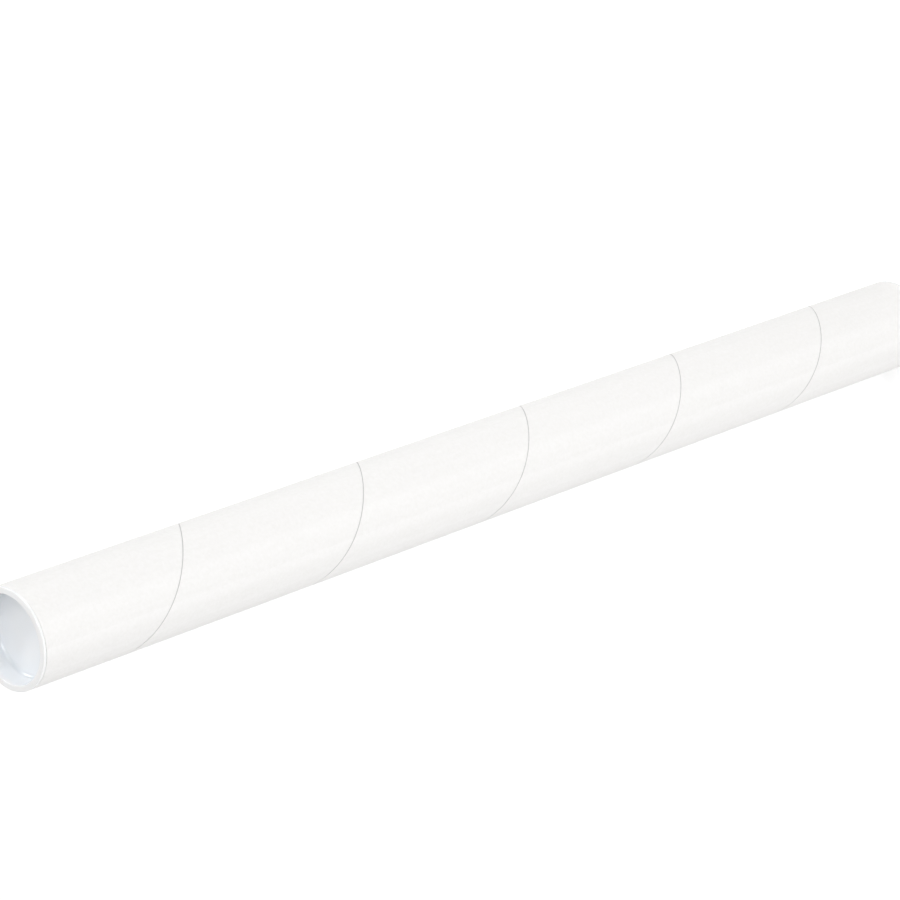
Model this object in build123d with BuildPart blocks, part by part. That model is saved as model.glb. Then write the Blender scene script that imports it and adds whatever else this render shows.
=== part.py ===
from build123d import *
import math
import os

# Mailing tube in millimetres, standing on its end: +Z up the tube's axis, the origin under the middle
# of the lower plug's flange.

# Tube: plies of board wound on a slant and glued into one wall
tube_length = 711.2
tube_bore = 50.8
tube_wall = 1.78

# Butt seam of the outer ply, a left-handed helix that winds from one cut end to the other
seam_pitch = 129.8
seam_gap = 0.5
seam_depth = 0.25
# How far below the upper cut end the seam first crosses the tube's +X side
seam_drop = 123.5

# Plug: a moulded cup whose flange laps the cut end of the wall and ends flush with its outside
flange_thickness = 1.4
rim_bevel = 0.4
lip_bevel = 0.4
recess_depth = 12.5
recess_bevel = 1.2
plug_wall = 1.4
plug_floor = 1.2
skirt_draft = 0.2
lead_in = 0.5

# Ridges round the plug's skirt, which grip the bore
ridge_count = 2
ridge_height = 0.25
ridge_width = 1.4
ridge_clearance = 0.05

# How far a cutting shape runs past what it cuts
overrun = 1.0

tube_radius = tube_bore / 2 + tube_wall
tube_top = flange_thickness + tube_length
overall_height = tube_top + flange_thickness

flange_radius = tube_radius
ridge_radius = tube_bore / 2 - ridge_clearance
skirt_radius = ridge_radius - ridge_height
skirt_tip_radius = skirt_radius - skirt_draft
skirt_depth = recess_depth + plug_floor
recess_radius = skirt_radius - plug_wall

os.makedirs("parts", exist_ok=True)


def skirt_radius_at(depth):
    """Outside radius of the tapered skirt at a depth below the flange's face."""
    share = (depth - flange_thickness) / (skirt_depth - flange_thickness)
    return skirt_radius - skirt_draft * share


def corner(sketch, radius, depth):
    """The outline's corner nearest to a point given as radius and depth."""
    return sketch.vertices().sort_by_distance((radius, depth))[0]


# One turn of the seam, from the tube's +X side round to it again: a slot as deep as the outer ply
with BuildPart() as seam_turn:
    with BuildLine() as seam:
        Helix(pitch=seam_pitch, height=seam_pitch, radius=tube_radius - seam_depth, lefthand=True)
    with BuildSketch(Plane(origin=seam.line @ 0, x_dir=(1, 0, 0), z_dir=seam.line % 0)):
        Rectangle(seam_depth + overrun, seam_gap, align=(Align.MIN, Align.CENTER))
    sweep(path=seam.line, is_frenet=True)

# The wound tube: its seam is cut turn by turn, from below the lower cut end to above the upper one
seam_turns = math.ceil((tube_length - seam_drop + overrun) / seam_pitch)
seam_crossings = [tube_top - seam_drop + seam_pitch * turn for turn in range(-seam_turns, 1)]
with BuildPart() as tube:
    with BuildSketch(Plane.XY.offset(flange_thickness)):
        Circle(tube_radius)
        Circle(tube_bore / 2, mode=Mode.SUBTRACT)
    extrude(amount=tube_length)
    for crossing in seam_crossings:
        with Locations((0, 0, crossing)):
            add(seam_turn.part, mode=Mode.SUBTRACT)
tube.part.label = "tube"
export_step(tube.part, "parts/tube.step")

# Each plug's outline is drawn as radius and depth below its flange's face, with depth running into the tube
plug_seats = {
    "bottom_plug": Plane(origin=(0, 0, 0), x_dir=(1, 0, 0), z_dir=(0, -1, 0)),
    "top_plug": Plane(origin=(0, 0, overall_height), x_dir=(1, 0, 0), z_dir=(0, 1, 0)),
}
ridge_spacing = (skirt_depth - flange_thickness) / (ridge_count + 1)
ridge_outline = []
for ridge in range(ridge_count):
    crest = flange_thickness + ridge_spacing * (ridge + 1)
    upper_foot = crest - ridge_width / 2
    lower_foot = crest + ridge_width / 2
    ridge_outline += [
        (skirt_radius_at(upper_foot), upper_foot),
        (ridge_radius, crest),
        (skirt_radius_at(lower_foot), lower_foot),
    ]

for name, seat in plug_seats.items():
    with BuildPart() as plug:
        with BuildSketch(seat) as section:
            with BuildLine():
                Polyline(
                    (0, recess_depth),
                    (recess_radius, recess_depth),
                    (recess_radius, 0),
                    (flange_radius, 0),
                    (flange_radius, flange_thickness),
                    (skirt_radius, flange_thickness),
                    *ridge_outline,
                    (skirt_tip_radius, skirt_depth),
                    (0, skirt_depth),
                    close=True,
                )
            make_face()
            chamfer(corner(section, recess_radius, recess_depth), recess_bevel)
            chamfer(corner(section, recess_radius, 0), lip_bevel)
            chamfer(corner(section, flange_radius, 0), rim_bevel)
            chamfer(corner(section, skirt_tip_radius, skirt_depth), lead_in)
        revolve(axis=Axis.Z)
    plug.part.label = name
    export_step(plug.part, f"parts/{name}.step")
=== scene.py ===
import math
import bpy
import bmesh
from mathutils import Matrix, Vector


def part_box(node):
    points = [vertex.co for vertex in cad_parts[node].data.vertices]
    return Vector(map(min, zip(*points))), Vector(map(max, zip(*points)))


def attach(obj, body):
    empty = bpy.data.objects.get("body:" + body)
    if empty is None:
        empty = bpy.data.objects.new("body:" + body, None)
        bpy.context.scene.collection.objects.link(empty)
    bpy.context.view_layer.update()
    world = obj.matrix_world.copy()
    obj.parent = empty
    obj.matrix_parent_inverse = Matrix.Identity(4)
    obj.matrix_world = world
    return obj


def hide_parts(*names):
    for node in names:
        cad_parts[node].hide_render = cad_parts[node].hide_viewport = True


# A white spiral-wound mailing tube with a moulded plug in each end, standing on the lower plug's flange.
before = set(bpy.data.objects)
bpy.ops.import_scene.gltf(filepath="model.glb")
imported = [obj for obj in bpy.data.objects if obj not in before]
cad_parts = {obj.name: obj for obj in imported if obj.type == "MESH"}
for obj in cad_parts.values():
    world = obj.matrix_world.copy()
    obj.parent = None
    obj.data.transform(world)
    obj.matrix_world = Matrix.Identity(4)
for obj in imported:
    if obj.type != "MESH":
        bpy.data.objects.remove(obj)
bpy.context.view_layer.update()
mm = 0.001
hair = 0.001 * mm               # lengths below this count as none
calc = "ShaderNodeMath"         # the node that does one step of a sum


def linear(hexColour):
    # sRGB hex, as a colour picker shows it, to the linear values that Blender's sockets take
    channels = [int(hexColour[i:i + 2], 16) / 255 for i in (0, 2, 4)]
    return [c / 12.92 if c <= 0.04045 else ((c + 0.055) / 1.055) ** 2.4 for c in channels] + [1.0]


def fillSockets(tree, node, inputs):
    # inputs lists values in the sockets' order, or maps a socket's name or number to its value;
    # an output socket is linked, and a node stands for its first output
    pairs = inputs.items() if isinstance(inputs, dict) else enumerate(inputs)
    for socket, value in pairs:
        if isinstance(value, bpy.types.Node):
            value = value.outputs[0]
        if isinstance(value, bpy.types.NodeSocket):
            tree.links.new(value, node.inputs[socket])
        else:
            node.inputs[socket].default_value = value


def addNode(tree, kind, inputs=(), **settings):
    node = tree.nodes.new(kind)
    for setting, value in settings.items():
        setattr(node, setting, value)
    fillSockets(tree, node, inputs)
    return node


def newMaterial(name):
    material = bpy.data.materials.new(name)
    material.use_nodes = True
    material.node_tree.nodes.clear()
    return material, material.node_tree


def linkMesh(name, mesh):
    piece = bpy.data.objects.new(name, mesh)
    bpy.context.scene.collection.objects.link(piece)
    return piece


# Materials

paper = {
    "white": "F4F3F2",          # bleached paper, a touch warm
    "flock": "EDECEA",          # where the fibres lie thinner
    "fibreLength": 2.2 * mm,
    "fibreWidth": 0.35 * mm,
    "cloud": 1.9 * mm,          # size of the soft blotches in the sheet
    "fibreShare": 0.45,         # of the mottle; the blotches are the rest
    "mottleRange": (0.35, 0.62),
    "bump": 0.03 * mm,
    "roughness": 0.62,
    "specular": 0.35,
}


def bleachedPaper():
    # Bleached kraft paper, calendered: matt, near white, with fibres that run along the wound ply
    material, tree = newMaterial("bleachedKraftPaper")
    ply = addNode(tree, "ShaderNodeAttribute", attribute_name="plyRun").outputs["Vector"]
    place = addNode(tree, "ShaderNodeTexCoord").outputs["Object"]
    stretched = addNode(tree, "ShaderNodeMapping", {
        "Vector": ply, "Scale": (1 / paper["fibreLength"], 1 / paper["fibreWidth"], 1.0),
    })
    fibres = addNode(tree, "ShaderNodeTexNoise", {
        "Vector": stretched, "Scale": 1.0, "Detail": 3.0, "Roughness": 0.6,
    })
    clouds = addNode(tree, "ShaderNodeTexNoise", {
        "Vector": place, "Scale": 1 / paper["cloud"], "Detail": 5.0, "Roughness": 0.65,
    })
    fibrePart = addNode(tree, calc, [fibres, paper["fibreShare"]], operation="MULTIPLY")
    cloudPart = addNode(tree, calc, [clouds, 1 - paper["fibreShare"]], operation="MULTIPLY")
    mottle = addNode(tree, calc, [fibrePart, cloudPart], operation="ADD")
    thin, paintedCornerShade = paper["mottleRange"]
    shade = addNode(tree, "ShaderNodeMapRange", {"Value": mottle, "From Min": thin, "From Max": paintedCornerShade})
    colour = addNode(tree, "ShaderNodeMix", {
        "Factor": shade, "A": linear(paper["flock"]), "B": linear(paper["white"]),
    }, data_type="RGBA").outputs["Result"]
    relief = addNode(tree, "ShaderNodeBump", {
        "Height": mottle, "Strength": 0.5, "Distance": paper["bump"],
    })
    skin = addNode(tree, "ShaderNodeBsdfPrincipled", {
        "Base Color": colour, "Roughness": paper["roughness"],
        "Specular IOR Level": paper["specular"], "Normal": relief,
    })
    addNode(tree, "ShaderNodeOutputMaterial", {"Surface": skin})
    return material


underPlyAndSeamShade = {
    # darker than the ply's own grey: painted shade of the seam's trench
    "grey": "DAD9D9",
    "shade": "C6C4C4",
    "fleck": 1.2 * mm,
    "roughness": 0.85,
    "specular": 0.2,
}


def greyPlyAndSeamShade():
    # The smooth grey ply that shows in the seam, glued down under the white one; its grey is darkened as
    # painted shade for a deeper trench, and it also paints shade on the seam's steep sides
    material, tree = newMaterial("greyUnderPlyAndSeamShade")
    place = addNode(tree, "ShaderNodeTexCoord").outputs["Object"]
    pulp = addNode(tree, "ShaderNodeTexNoise", {
        "Vector": place, "Scale": 1 / underPlyAndSeamShade["fleck"], "Detail": 5.0, "Roughness": 0.6,
    })
    colour = addNode(tree, "ShaderNodeMix", {
        "Factor": pulp, "A": linear(underPlyAndSeamShade["shade"]), "B": linear(underPlyAndSeamShade["grey"]),
    }, data_type="RGBA").outputs["Result"]
    skin = addNode(tree, "ShaderNodeBsdfPrincipled", {
        "Base Color": colour, "Roughness": underPlyAndSeamShade["roughness"],
        "Specular IOR Level": underPlyAndSeamShade["specular"],
    })
    addNode(tree, "ShaderNodeOutputMaterial", {"Surface": skin})
    return material


board = {
    "grey": "B9AFA3",
    "brown": "A2927F",
    "speck": "8C7E6E",
    "fleck": 1.6 * mm,
    "speckRange": (0.6, 0.68),  # only the noise's peaks become specks
    "speckDarkness": 0.5,
    "ply": 0.38 * mm,           # thickness of one inner ply
    "glueWidth": 0.14,          # of a ply's thickness
    "glueDarkness": 0.55,
    "bump": 0.06 * mm,
    "roughness": 0.9,
    "specular": 0.2,
}


def chipboard():
    # Recycled chipboard: grey-brown and matt, with darker flecks and a line where each ply is glued
    material, tree = newMaterial("recycledChipboard")
    place = addNode(tree, "ShaderNodeTexCoord").outputs["Object"]
    axes = addNode(tree, "ShaderNodeSeparateXYZ", [place]).outputs
    flat = addNode(tree, "ShaderNodeCombineXYZ", [axes["X"], axes["Y"]])
    radius = addNode(tree, "ShaderNodeVectorMath", [flat], operation="LENGTH").outputs["Value"]
    pulp = addNode(tree, "ShaderNodeTexNoise", {
        "Vector": place, "Scale": 1 / board["fleck"], "Detail": 6.0, "Roughness": 0.7,
    })
    low, high = board["speckRange"]
    specks = addNode(tree, "ShaderNodeMapRange", {"Value": pulp, "From Min": low, "From Max": high})
    ground = addNode(tree, "ShaderNodeMix", {
        "Factor": pulp, "A": linear(board["brown"]), "B": linear(board["grey"]),
    }, data_type="RGBA").outputs["Result"]
    plyCount = addNode(tree, calc, [radius, board["ply"]], operation="DIVIDE")
    layer = addNode(tree, calc, [plyCount, 0.5], operation="PINGPONG")
    glue = addNode(tree, "ShaderNodeMapRange", {
        "Value": layer, "From Min": 0.0, "From Max": board["glueWidth"],
        "To Min": board["glueDarkness"], "To Max": 0.0,
    })
    speckled = addNode(tree, calc, [specks, board["speckDarkness"]], operation="MULTIPLY")
    dark = addNode(tree, calc, [glue, speckled], operation="MAXIMUM")
    colour = addNode(tree, "ShaderNodeMix", {
        "Factor": dark, "A": ground, "B": linear(board["speck"]),
    }, data_type="RGBA").outputs["Result"]
    relief = addNode(tree, "ShaderNodeBump", {
        "Height": pulp, "Strength": 0.6, "Distance": board["bump"],
    })
    skin = addNode(tree, "ShaderNodeBsdfPrincipled", {
        "Base Color": colour, "Roughness": board["roughness"],
        "Specular IOR Level": board["specular"], "Normal": relief,
    })
    addNode(tree, "ShaderNodeOutputMaterial", {"Surface": skin})
    return material


plastic = {
    "milk": "F8F8F8",           # the flange, backed by the board's pale cut end
    "cup": "F5F7FA",            # the cup, backed by the dark hollow; darker and bluer than the flange as painted shade
    "cloudShade": "F1F4F7",
    "paintedCornerShade": "E3E8EC",          # painted shade: a darker blue band along the cup's corner
    "cornerShadeWidth": 1.5 * mm,
    "fadeDepth": 3.5 * mm,      # below the flange's face
    "cloud": 14.0 * mm,
    "ripple": 9.0 * mm,
    "bump": 0.003 * mm,
    "roughness": (0.16, 0.24),
    "ior": 1.51,
    "scatterShare": 0.15,
    "scatterColour": (1.0, 1.1, 1.25),
    "scatter": 1.2 * mm,
}


def milkyPolyethylene():
    # Low-density polyethylene, injection moulded: milky and faintly blue, glossy, lit through its thin walls
    material, tree = newMaterial("milkyPolyethylene")
    place = addNode(tree, "ShaderNodeTexCoord").outputs["Object"]
    clouds = addNode(tree, "ShaderNodeTexNoise", {
        "Vector": place, "Scale": 1 / plastic["cloud"], "Detail": 2.0,
    })
    ripples = addNode(tree, "ShaderNodeTexNoise", {
        "Vector": place, "Scale": 1 / plastic["ripple"], "Detail": 1.0,
    })
    # the cup is painted darker and bluer than the flange as painted shade; below, sunk fades it in under the
    # flange's face
    cup = addNode(tree, "ShaderNodeMix", {
        "Factor": clouds, "A": linear(plastic["cloudShade"]), "B": linear(plastic["cup"]),
    }, data_type="RGBA").outputs["Result"]
    depth = addNode(tree, "ShaderNodeAttribute", attribute_name="cupDepth").outputs["Fac"]
    sunk = addNode(tree, "ShaderNodeMapRange", {"Value": depth, "From Max": plastic["fadeDepth"]})
    faded = addNode(tree, "ShaderNodeMix", {
        "Factor": sunk, "A": linear(plastic["milk"]), "B": cup,
    }, data_type="RGBA").outputs["Result"]
    # a darker blue band of painted shade along the cup's corner
    corner = addNode(tree, "ShaderNodeAttribute", attribute_name="cupCornerShade").outputs["Fac"]
    colour = addNode(tree, "ShaderNodeMix", {
        "Factor": corner, "A": faded, "B": linear(plastic["paintedCornerShade"]),
    }, data_type="RGBA").outputs["Result"]
    relief = addNode(tree, "ShaderNodeBump", {
        "Height": ripples, "Strength": 0.4, "Distance": plastic["bump"],
    })
    smooth, rough = plastic["roughness"]
    gloss = addNode(tree, "ShaderNodeMapRange", {"Value": ripples, "To Min": smooth, "To Max": rough})
    skin = addNode(tree, "ShaderNodeBsdfPrincipled", {
        "Base Color": colour, "Roughness": gloss, "IOR": plastic["ior"], "Normal": relief,
        "Subsurface Weight": plastic["scatterShare"], "Subsurface Radius": plastic["scatterColour"],
        "Subsurface Scale": plastic["scatter"],
    })
    addNode(tree, "ShaderNodeOutputMaterial", {"Surface": skin})
    return material


paperMaterial = bleachedPaper()
boardMaterial = chipboard()
underPlyAndSeamShadeMaterial = greyPlyAndSeamShade()
plasticMaterial = milkyPolyethylene()
print("materials made")

# The wound tube

tubeLow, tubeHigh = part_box("tube")
wound = {
    "outside": 27.18 * mm,      # radius, as the bore's is
    "bore": 25.4 * mm,
    "pitch": 129.8 * mm,        # how far the seam climbs in one turn
    "seamDrop": 123.5 * mm,     # from the upper cut end down to the seam on the +X side
    "seamGap": 0.5 * mm,
    "seamDepth": 0.25 * mm,
    "seamWander": 0.22,         # share by which the gap widens and narrows
    "wanderScale": 90.0,        # how often it does so, in cells of noise to the metre
    "curl": 0.5 * mm,           # the edge of the ply rounds down over this width
    "lipShare": 0.08,           # share of the curl's width that is steep
    "lipDrop": 0.22,            # share of the seam's depth that the curl takes up
    "linerShift": 61.0 * mm,    # the seam inside the bore lies this much lower
    "linerGap": 0.7 * mm,
    # how far the cut's outer edge is rounded back, at distances from the cut
    "wornEdge": [(0.5 * mm, 0.0), (0.3 * mm, 0.05 * mm), (0.12 * mm, 0.16 * mm), (0.0, 0.35 * mm)],
    "cutError": 0.35 * mm,      # how far out of square the cut is across the tube
    "cutErrorSide": 217,        # degrees round from +X where the wedge is widest
    "columns": 240,
    "rowsPerPly": 24,
    "sharpFrom": 40,            # degrees between faces
}


def woundSurfaceTree():
    # A sheet whose rows follow the seam round the tube; its first and last columns meet one turn apart
    tree = bpy.data.node_groups.new("woundPly", "GeometryNodeTree")
    sockets = {
        "Radius": "Float", "Pitch": "Float", "Seam height": "Float", "Seam gap": "Float",
        "Seam depth": "Float", "Seam wander": "Float", "Edge curl": "Float",
        "Columns": "Int", "Rows per ply": "Int", "Plies": "Int", "Paper": "Material",
    }
    for title, kind in sockets.items():
        tree.interface.new_socket(name=title, in_out="INPUT", socket_type="NodeSocket" + kind)
    tree.interface.new_socket(name="Mesh", in_out="OUTPUT", socket_type="NodeSocketGeometry")
    given = addNode(tree, "NodeGroupInput").outputs
    radius, pitch, depth = given["Radius"], given["Pitch"], given["Seam depth"]
    rowsPerPly = given["Rows per ply"]

    # a flat grid, one by one and centred: its width is one turn, its height all the plies
    columns = addNode(tree, calc, [given["Columns"], 1.0], operation="ADD")
    rows = addNode(tree, calc, [given["Plies"], rowsPerPly], operation="MULTIPLY")
    rowLines = addNode(tree, calc, [rows, 1.0], operation="ADD")
    grid = addNode(tree, "GeometryNodeMeshGrid", {
        "Size X": 1.0, "Size Y": 1.0, "Vertices X": columns, "Vertices Y": rowLines,
    }).outputs["Mesh"]
    position = addNode(tree, "GeometryNodeInputPosition")
    spot = addNode(tree, "ShaderNodeSeparateXYZ", [position]).outputs
    turn = addNode(tree, calc, [spot["X"], 0.5], operation="ADD")
    upShare = addNode(tree, calc, [spot["Y"], 0.5], operation="ADD")
    rowPlace = addNode(tree, calc, [upShare, rows], operation="MULTIPLY")
    row = addNode(tree, calc, [rowPlace], operation="ROUND")

    # rows counted from the nearest seam: 0 on its floor, 1 at the floor's edge, 2 and 3 over the ply's edge
    plyPlace = addNode(tree, calc, [row, rowsPerPly], operation="DIVIDE")
    nearest = addNode(tree, calc, [plyPlace, 0.5], operation="ADD")
    seam = addNode(tree, calc, [nearest], operation="FLOOR")
    seamRow = addNode(tree, calc, [seam, rowsPerPly], operation="MULTIPLY")
    signedStep = addNode(tree, calc, [row, seamRow], operation="SUBTRACT")
    step = addNode(tree, calc, [signedStep], operation="ABSOLUTE")
    side = addNode(tree, calc, [signedStep], operation="SIGN")

    # the winding is left-handed: a seam falls as the angle grows
    turnsUp = addNode(tree, calc, [seam, turn], operation="SUBTRACT")
    climb = addNode(tree, calc, [turnsUp, pitch], operation="MULTIPLY")
    seamHeight = addNode(tree, calc, [given["Seam height"], climb], operation="ADD")
    angle = addNode(tree, calc, [turn, math.tau], operation="MULTIPLY")
    cosine = addNode(tree, calc, [angle], operation="COSINE")
    sine = addNode(tree, calc, [angle], operation="SINE")

    # the gap wanders along the seam; its noise is read on the tube, so that the joined columns agree
    aroundX = addNode(tree, calc, [cosine, radius], operation="MULTIPLY")
    aroundY = addNode(tree, calc, [sine, radius], operation="MULTIPLY")
    around = addNode(tree, "ShaderNodeCombineXYZ", [aroundX, aroundY, seamHeight])
    wobble = addNode(tree, "ShaderNodeTexNoise", {
        "Vector": around, "Scale": wound["wanderScale"], "Detail": 3.0,
    })
    centred = addNode(tree, calc, [wobble, 0.5], operation="SUBTRACT")
    # the noise mostly keeps within a quarter of its middle, so four times that is the whole wander
    strength = addNode(tree, calc, [given["Seam wander"], 4.0], operation="MULTIPLY")
    change = addNode(tree, calc, [centred, strength], operation="MULTIPLY")
    widening = addNode(tree, calc, [1.0, change], operation="ADD")

    # heights are measured along the tube, so widths across the slanted seam grow by its slant
    circumference = addNode(tree, calc, [radius, math.tau], operation="MULTIPLY")
    steepness = addNode(tree, calc, [pitch, circumference], operation="DIVIDE")
    squared = addNode(tree, calc, [steepness, 2.0], operation="POWER")
    onePlusSquared = addNode(tree, calc, [1.0, squared], operation="ADD")
    slant = addNode(tree, calc, [onePlusSquared], operation="SQRT")
    halfGap = addNode(tree, calc, [given["Seam gap"], 0.5], operation="MULTIPLY")
    growth = addNode(tree, calc, [slant, widening], operation="MULTIPLY")
    edge = addNode(tree, calc, [halfGap, growth], operation="MULTIPLY")

    # the section by rows from the seam: the floor's middle and edge, the lip, the shoulder, the plain ply
    lipWidth = addNode(tree, calc, [given["Edge curl"], wound["lipShare"]], operation="MULTIPLY")
    lip = addNode(tree, calc, [edge, lipWidth], operation="ADD")
    lipDepth = addNode(tree, calc, [depth, wound["lipDrop"]], operation="MULTIPLY")
    shoulder = addNode(tree, calc, [edge, given["Edge curl"]], operation="ADD")
    halfRows = addNode(tree, calc, [rowsPerPly, 0.5], operation="MULTIPLY")
    halfPitch = addNode(tree, calc, [pitch, 0.5], operation="MULTIPLY")
    plain = addNode(tree, "ShaderNodeMapRange", {
        "Value": step, "From Min": 3.0, "From Max": halfRows, "To Min": shoulder, "To Max": halfPitch,
    })
    chosen = addNode(tree, calc, [step, 4.0], operation="MINIMUM")
    section = []
    for values in ([0.0, edge, lip, shoulder, plain], [depth, depth, lipDepth, 0.0, 0.0]):
        switch = addNode(tree, "GeometryNodeIndexSwitch", data_type="FLOAT")
        for _ in values[2:]:        # it has two items to begin with
            switch.index_switch_items.new()
        fillSockets(tree, switch, {"Index": chosen, **dict(enumerate(values, 1))})
        section.append(switch)
    reach, drop = section

    offset = addNode(tree, calc, [side, reach], operation="MULTIPLY")
    height = addNode(tree, calc, [seamHeight, offset], operation="ADD")
    sunkRadius = addNode(tree, calc, [radius, drop], operation="SUBTRACT")
    placeX = addNode(tree, calc, [cosine, sunkRadius], operation="MULTIPLY")
    placeY = addNode(tree, calc, [sine, sunkRadius], operation="MULTIPLY")
    place = addNode(tree, "ShaderNodeCombineXYZ", [placeX, placeY, height])
    placed = addNode(tree, "GeometryNodeSetPosition", {"Geometry": grid, "Position": place})

    # distance along the ply and across it, for the direction of its fibres
    turnsAlong = addNode(tree, calc, [turn, seam], operation="SUBTRACT")
    along = addNode(tree, calc, [turnsAlong, circumference], operation="MULTIPLY")
    run = addNode(tree, "ShaderNodeCombineXYZ", [along, offset, seam])
    stored = addNode(tree, "GeometryNodeStoreNamedAttribute", {
        "Geometry": placed, "Name": "plyRun", "Value": run,
    }, data_type="FLOAT_VECTOR", domain="POINT")
    joined = addNode(tree, "GeometryNodeMergeByDistance", {"Geometry": stored, "Distance": hair})
    real = addNode(tree, "GeometryNodeRealizeInstances", [joined])
    painted = addNode(tree, "GeometryNodeSetMaterial", {"Geometry": real, "Material": given["Paper"]})
    addNode(tree, "NodeGroupOutput", [painted])
    return tree


def woundSurface(tree, values):
    # the tree's result as a plain mesh
    carrier = linkMesh("plyCarrier", bpy.data.meshes.new("plyCarrier"))
    modifier = carrier.modifiers.new("winding", "NODES")
    modifier.node_group = tree
    for item in tree.interface.items_tree:
        if item.in_out == "INPUT":
            modifier[item.identifier] = values[item.name]
    evaluated = carrier.evaluated_get(bpy.context.evaluated_depsgraph_get())
    mesh = bpy.data.meshes.new_from_object(evaluated)
    carrier.modifiers.remove(modifier)
    bpy.data.objects.remove(carrier)
    return mesh


paperSlot, boardSlot, underPlyAndSeamShadeSlot = 0, 1, 2


def joinWalls(outer, inner):
    # both sheets in one mesh, their faces turned out of the wall and given their materials
    work = bmesh.new()
    work.from_mesh(outer)
    work.from_mesh(inner)
    work.normal_update()
    middleRadius = (wound["outside"] + wound["bore"]) / 2
    trenchRadius = wound["outside"] - wound["seamDepth"] * 0.5
    for face in work.faces:
        centre = face.calc_center_median()
        isLiner = centre.xy.length < middleRadius
        outward = face.normal.xy.dot(centre.xy) > 0
        if outward == isLiner:
            face.normal_flip()
        if isLiner:
            face.material_index = boardSlot
        elif centre.xy.length < trenchRadius:
            # the floor shows the grey ply; the steep sides are the white ply's cut edge, painted grey as
            # painted shade
            face.material_index = underPlyAndSeamShadeSlot      # the seam's floor and its two steep sides
        else:
            face.material_index = paperSlot
        face.smooth = True
    return work


def cutEnd(work, height, up):
    # the knife cuts a little out of square, and handling rounds the cut's outer edge
    lean = wound["cutError"] / (2 * wound["outside"])
    toward = math.radians(wound["cutErrorSide"])
    normal = Vector((math.cos(toward) * lean, math.sin(toward) * lean, up)).normalized()
    # the cut touches the flange on the side away from the wedge
    away = Vector((-math.cos(toward), -math.sin(toward), 0))
    contact = away * wound["outside"] + Vector((0, 0, height))
    for inset, loss in wound["wornEdge"]:
        everything = list(work.verts) + list(work.edges) + list(work.faces)
        level = contact - normal * inset
        bmesh.ops.bisect_plane(work, geom=everything, plane_co=level, plane_no=normal,
                               clear_outer=inset == 0, dist=hair / 10)
        limit = wound["outside"] - loss
        for vert in work.verts:
            if abs((vert.co - level).dot(normal)) < hair and vert.co.xy.length > limit:
                vert.co.xy *= limit / vert.co.xy.length
    # the last cut leaves the wall open, and its two rims are filled in with the bare board between them
    rims = [e for e in work.edges if e.is_boundary and
            all(abs((v.co - contact).dot(normal)) < 20 * hair for v in e.verts)]
    cap = bmesh.ops.triangle_fill(work, edges=rims, use_beauty=True, normal=(0, 0, up))
    for face in cap["geom"]:
        if isinstance(face, bmesh.types.BMFace):
            face.material_index = boardSlot
            face.smooth = False
            face.normal_update()
            if face.normal.z * up < 0:
                face.normal_flip()


def buildTube():
    tree = woundSurfaceTree()
    # the sheets overshoot both ends, as their ends are slanted
    plies = math.ceil((tubeHigh.z - tubeLow.z) / wound["pitch"]) + 2
    seamFloor = tubeHigh.z - wound["seamDrop"] - (plies - 1) * wound["pitch"]
    shared = {
        "Pitch": wound["pitch"], "Seam wander": wound["seamWander"], "Edge curl": wound["curl"],
        "Columns": wound["columns"],
    }
    outer = woundSurface(tree, {
        **shared, "Radius": wound["outside"], "Seam height": seamFloor, "Seam gap": wound["seamGap"],
        "Seam depth": wound["seamDepth"], "Rows per ply": wound["rowsPerPly"], "Plies": plies + 1,
        "Paper": paperMaterial,
    })
    inner = woundSurface(tree, {
        **shared, "Radius": wound["bore"], "Seam height": seamFloor - wound["linerShift"],
        "Seam gap": wound["linerGap"], "Seam depth": -wound["seamDepth"],
        "Rows per ply": wound["rowsPerPly"] // 2, "Plies": plies + 2, "Paper": boardMaterial,
    })
    print("plies wound:", len(outer.polygons), "outside faces,", len(inner.polygons), "inside")
    work = joinWalls(outer, inner)
    cutEnd(work, tubeHigh.z, 1)
    cutEnd(work, tubeLow.z, -1)
    mesh = bpy.data.meshes.new("woundTube")
    work.to_mesh(mesh)
    work.free()
    for material in (paperMaterial, boardMaterial, underPlyAndSeamShadeMaterial):       # in the order of their slots
        mesh.materials.append(material)
    mesh.set_sharp_from_angle(angle=math.radians(wound["sharpFrom"]))
    for leftover in (outer, inner):
        bpy.data.meshes.remove(leftover)
    tube = linkMesh("woundTube", mesh)
    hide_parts("tube")
    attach(tube, "tube")
    print("tube built:", len(mesh.polygons), "faces")


buildTube()

# The plugs

plug = {
    "flange": 1.4 * mm,
    "rimRound": 0.5 * mm,
    "lipRound": 0.5 * mm,
    "recess": 12.5 * mm,
    "recessRound": 2.4 * mm,
    "wall": 1.4 * mm,
    "floor": 1.2 * mm,
    "draft": 0.2 * mm,
    "leadIn": 0.5 * mm,
    "ridges": 2,
    "ridgeHeight": 0.25 * mm,
    "ridgeWidth": 1.4 * mm,
    "clearance": 0.05 * mm,     # between the ridges' crests and the bore
    "columns": 192,
    "roundSteps": 8,            # faces in each small round and over each ridge
    "recessSteps": 10,
    "sharpFrom": 35,            # degrees between faces
}
crestRadius = wound["bore"] - plug["clearance"]
skirtRadius = crestRadius - plug["ridgeHeight"]
cupRadius = skirtRadius - plug["wall"]


def arc(centre, radius, start, end, steps):
    # points on an arc in the outline's plane; angles in degrees
    points = []
    for i in range(steps + 1):
        a = math.radians(start + (end - start) * i / steps)
        points.append((centre[0] + radius * math.cos(a), centre[1] + radius * math.sin(a)))
    return points


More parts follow.
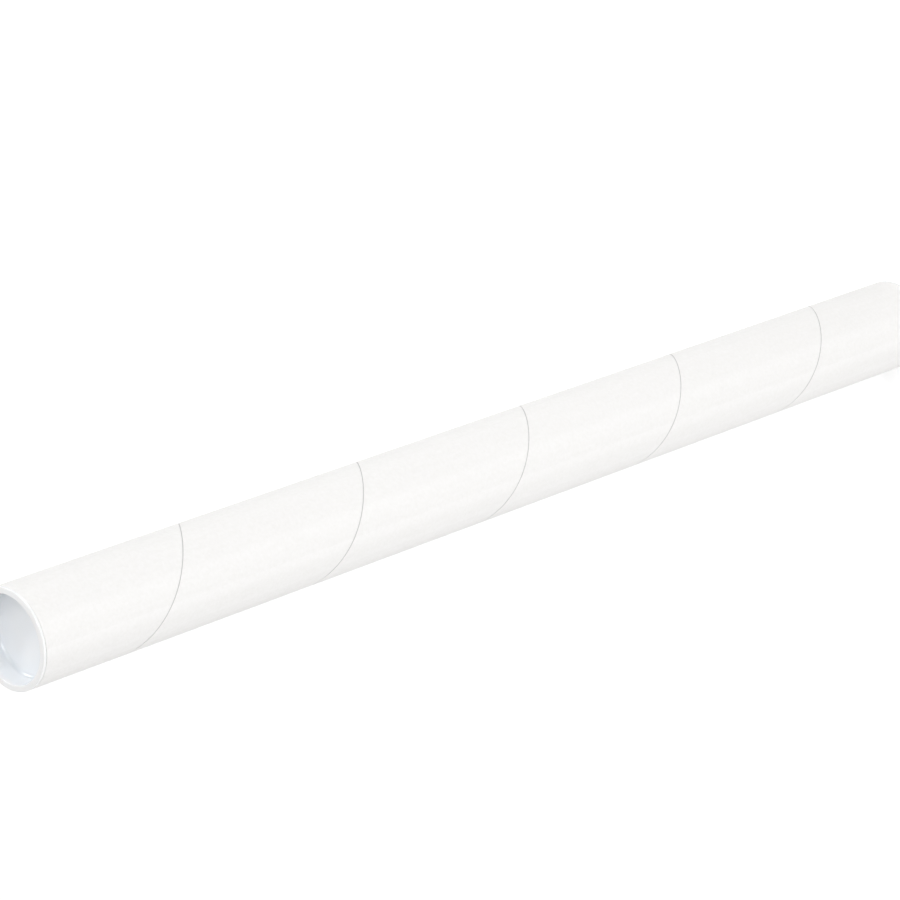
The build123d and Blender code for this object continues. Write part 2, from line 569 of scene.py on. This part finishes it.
def plugOutline():
    # radius and depth below the flange's face, from the middle of the recess to the middle of the underside
    edge, steps = wound["outside"], plug["roundSteps"]
    tip = plug["recess"] + plug["floor"]
    corner, lip, rim = plug["recessRound"], plug["lipRound"], plug["rimRound"]
    points = [(0.0, plug["recess"]), (cupRadius * 0.5, plug["recess"])]
    points += arc((cupRadius - corner, plug["recess"] - corner), corner, 90, 0, plug["recessSteps"])
    points += arc((cupRadius + lip, lip), lip, 180, 270, steps)
    points += arc((edge - rim, rim), rim, -90, 0, steps)
    points += [(edge, plug["flange"]), (skirtRadius, plug["flange"])]
    spacing = (tip - plug["flange"]) / (plug["ridges"] + 1)
    for i in range(plug["ridges"]):
        middle = plug["flange"] + spacing * (i + 1)
        for k in range(steps + 1):
            share = k / steps
            swell = math.sin(math.pi * share) ** 2
            depth = middle + plug["ridgeWidth"] * (share - 0.5)
            root = skirtRadius - plug["draft"] * (depth - plug["flange"]) / (tip - plug["flange"])
            points.append((root + (crestRadius - root) * swell, depth))
    end = skirtRadius - plug["draft"]
    points += [(end, tip - plug["leadIn"]), (end - plug["leadIn"], tip)]
    points += [(cupRadius * 0.5, tip), (0.0, tip)]
    return points


def turned(name, outline, place):
    # a closed solid of revolution about Z; place turns a depth into a height
    columns = plug["columns"]
    work = bmesh.new()
    rings = []
    for radius, depth in outline:
        height = place(depth)
        if radius < hair:
            rings.append([work.verts.new((0, 0, height))] * columns)
            continue
        rings.append([work.verts.new((radius * math.cos(math.tau * i / columns),
                                      radius * math.sin(math.tau * i / columns), height))
                      for i in range(columns)])
    for first, second in zip(rings, rings[1:]):
        for i in range(columns):
            j = (i + 1) % columns
            corners = []
            for vert in (first[i], first[j], second[j], second[i]):
                if vert not in corners:
                    corners.append(vert)
            work.faces.new(corners).smooth = True
    bmesh.ops.recalc_face_normals(work, faces=work.faces)
    mesh = bpy.data.meshes.new(name)
    work.to_mesh(mesh)
    work.free()
    mesh.set_sharp_from_angle(angle=math.radians(plug["sharpFrom"]))
    return mesh


def markCup(mesh, place):
    # how deep each point lies below the flange's face, and how near the cup's corner, where the band of
    # painted shade lies
    depths = [abs(vert.co.z - place(0)) for vert in mesh.vertices]
    radii = [vert.co.xy.length for vert in mesh.vertices]
    # the middle of the corner's round lies this far in from where its two faces would meet
    inward = plug["recessRound"] * 0.3
    cornerRadius, cornerDepth = cupRadius - inward, plug["recess"] - inward
    cornerShadeNearness = [math.exp(-((r - cornerRadius) ** 2 + (d - cornerDepth) ** 2) / plastic["cornerShadeWidth"] ** 2)
                for r, d in zip(radii, depths)]
    mesh.attributes.new("cupDepth", "FLOAT", "POINT").data.foreach_set("value", depths)
    mesh.attributes.new("cupCornerShade", "FLOAT", "POINT").data.foreach_set("value", cornerShadeNearness)


def buildPlug(node, place):
    mesh = turned(node + "Cup", plugOutline(), place)
    markCup(mesh, place)
    mesh.materials.append(plasticMaterial)
    piece = linkMesh(node + "Cup", mesh)
    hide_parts(node)
    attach(piece, node)
    print(node, "turned:", len(mesh.polygons), "faces")


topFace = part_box("top_plug")[1].z
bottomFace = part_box("bottom_plug")[0].z
buildPlug("top_plug", lambda depth: topFace - depth)
buildPlug("bottom_plug", lambda depth: bottomFace + depth)

# The studio: a pale floor that fades into the backdrop, soft light and the camera

studio = {
    "floor": "F7F7F7",
    "floorSize": 14.0,          # metres, as the two distances from the tube are
    "fadeFrom": 0.9,
    "fadeTo": 2.4,
    "floorGlow": 0.36,          # lifts the floor's shown colour to the backdrop's
    "background": "FFFFFF",
    "ambient": "F2F2F2",
    "ambientStrength": 0.685,
}


def showingRays(tree):
    # 1 for the rays that show the background: the camera's, and those in gloss and glass
    rays = addNode(tree, "ShaderNodeLightPath").outputs
    mirrored = addNode(tree, calc, [rays["Is Glossy Ray"], rays["Is Transmission Ray"]], operation="MAXIMUM")
    return addNode(tree, calc, [rays["Is Camera Ray"], mirrored], operation="MAXIMUM")


def buildFloor():
    material, tree = newMaterial("paleStudioFloor")
    background = linear(studio["background"])
    paint = addNode(tree, "ShaderNodeBsdfDiffuse", {"Color": linear(studio["floor"]), "Roughness": 0.5})
    glow = addNode(tree, "ShaderNodeEmission", {"Color": background, "Strength": studio["floorGlow"]})
    both = addNode(tree, "ShaderNodeAddShader", [paint, glow])
    # away from the tube the floor fades into the white backdrop
    place = addNode(tree, "ShaderNodeTexCoord").outputs["Object"]
    away = addNode(tree, "ShaderNodeVectorMath", [place], operation="LENGTH").outputs["Value"]
    fade = addNode(tree, "ShaderNodeMapRange", {
        "Value": away, "From Min": studio["fadeFrom"], "From Max": studio["fadeTo"],
    }, interpolation_type="SMOOTHSTEP")
    plain = addNode(tree, "ShaderNodeEmission", {"Color": background, "Strength": 1.0})
    shown = addNode(tree, "ShaderNodeMixShader", [fade, both, plain])
    surface = addNode(tree, "ShaderNodeMixShader", [showingRays(tree), paint, shown])
    addNode(tree, "ShaderNodeOutputMaterial", {"Surface": surface})
    half = studio["floorSize"] / 2
    corners = [(-half, -half, 0), (half, -half, 0), (half, half, 0), (-half, half, 0)]
    mesh = bpy.data.meshes.new("studioFloor")
    mesh.from_pydata(corners, [], [(0, 1, 2, 3)])
    mesh.materials.append(material)
    linkMesh("studioFloor", mesh)


def buildSky():
    world = bpy.data.worlds.new("studioSky")
    world.use_nodes = True
    bpy.context.scene.world = world
    tree = world.node_tree
    tree.nodes.clear()
    room = addNode(tree, "ShaderNodeBackground", {
        "Color": linear(studio["ambient"]), "Strength": studio["ambientStrength"],
    })
    white = addNode(tree, "ShaderNodeBackground", {"Color": linear(studio["background"]), "Strength": 1.0})
    mixed = addNode(tree, "ShaderNodeMixShader", [showingRays(tree), room, white])
    addNode(tree, "ShaderNodeOutputWorld", {"Surface": mixed})


def addSoftbox(name, toward, distance, target, size, power, glossOnly=False):
    lamp = bpy.data.lights.new(name, "AREA")
    lamp.shape = "RECTANGLE"
    lamp.size, lamp.size_y = size
    lamp.energy = power
    softbox = bpy.data.objects.new(name, lamp)
    bpy.context.scene.collection.objects.link(softbox)
    direction = Vector(toward).normalized()
    softbox.location = Vector(target) + direction * distance
    softbox.rotation_euler = (-direction).to_track_quat("-Z", "Y").to_euler()
    softbox.visible_camera = False
    softbox.visible_diffuse = not glossOnly


plugFace = (0, 0, tubeHigh.z)
tubeMiddle = (0, 0, tubeHigh.z / 2)
tubeFoot = (0, 0, 160.0 * mm)
# each lamp: the direction from the lit place to it, its distance, the lit place, its width and height,
# its watts, and True where it shows only in gloss; lengths are in metres
lamps = {
    # the key leans over the plug and lays the lip's shadow on its floor
    "keySoftbox": ((0.84, 0.24, 0.41), 3.0, plugFace, (0.3, 0.3), 16.5),
    "overheadSoftbox": ((0.20, -0.565, 0.80), 2.0, plugFace, (0.3, 0.3), 4.5),
    # the lip keeps this one off the floor beside it, which darkens there
    "leaningSoftbox": ((0.57, -0.48, 0.67), 2.0, plugFace, (0.4, 0.4), 5.7),
    # the two glints in the plug's corner
    "keyHead": ((0.765, 0.43, 0.47), 2.9, plugFace, (0.1, 0.1), 18.0, True),
    "overheadHead": ((0.20, -0.565, 0.80), 1.9, plugFace, (0.1, 0.1), 16.0, True),
    # this fill stands under the plug's rim, so it lights only the tube
    "sideFill": ((-0.78, -0.63, -0.02), 2.6, tubeMiddle, (1.4, 0.9), 13.8),
    # two long low ones lift the foot, which is farthest from the key
    "keySideFootFill": ((0.93, -0.34, 0.0), 0.83, tubeFoot, (0.6, 0.2), 0.74),
    "footFill": ((-0.21, -0.98, 0.0), 2.2, tubeFoot, (1.4, 0.28), 8.3),
}

buildFloor()
buildSky()
for lampName, lampSettings in lamps.items():
    addSoftbox(lampName, *lampSettings)
print("studio lit by", len(lamps), "lamps")

view = {
    "photoWidth": 900,                  # pixels
    "focalPixels": 3774,
    "sensorWidth": 36.0,                # millimetres, as Blender counts it
    "clip": (0.05, 60.0),
    "fromTopEnd": (73.0 * mm, -1522.9 * mm, 1099.6 * mm),
    "right": (-0.30607, -0.65577, -0.69014),
    "up": (0.95162, -0.18995, -0.24154),
}


def buildCamera():
    # the photo's camera: it looks down on the standing tube and lies on its side
    data = bpy.data.cameras.new("photoCamera")
    data.sensor_width = view["sensorWidth"]
    data.lens = view["focalPixels"] / view["photoWidth"] * data.sensor_width
    # the photo was measured at pixel centres, half a pixel right of and below Blender's pixel edges
    data.shift_x, data.shift_y = -0.5 / view["photoWidth"], 0.5 / view["photoWidth"]
    data.clip_start, data.clip_end = view["clip"]
    camera = bpy.data.objects.new("photoCamera", data)
    bpy.context.scene.collection.objects.link(camera)
    right, up = Vector(view["right"]).normalized(), Vector(view["up"]).normalized()
    back = right.cross(up).normalized()
    turn = Matrix((right, up, back)).transposed().to_4x4()
    place = Vector((0, 0, tubeHigh.z)) + Vector(view["fromTopEnd"])
    camera.matrix_world = Matrix.Translation(place) @ turn
    bpy.context.scene.camera = camera


buildCamera()
bpy.context.scene.view_settings.view_transform = "Standard"
print("camera set")
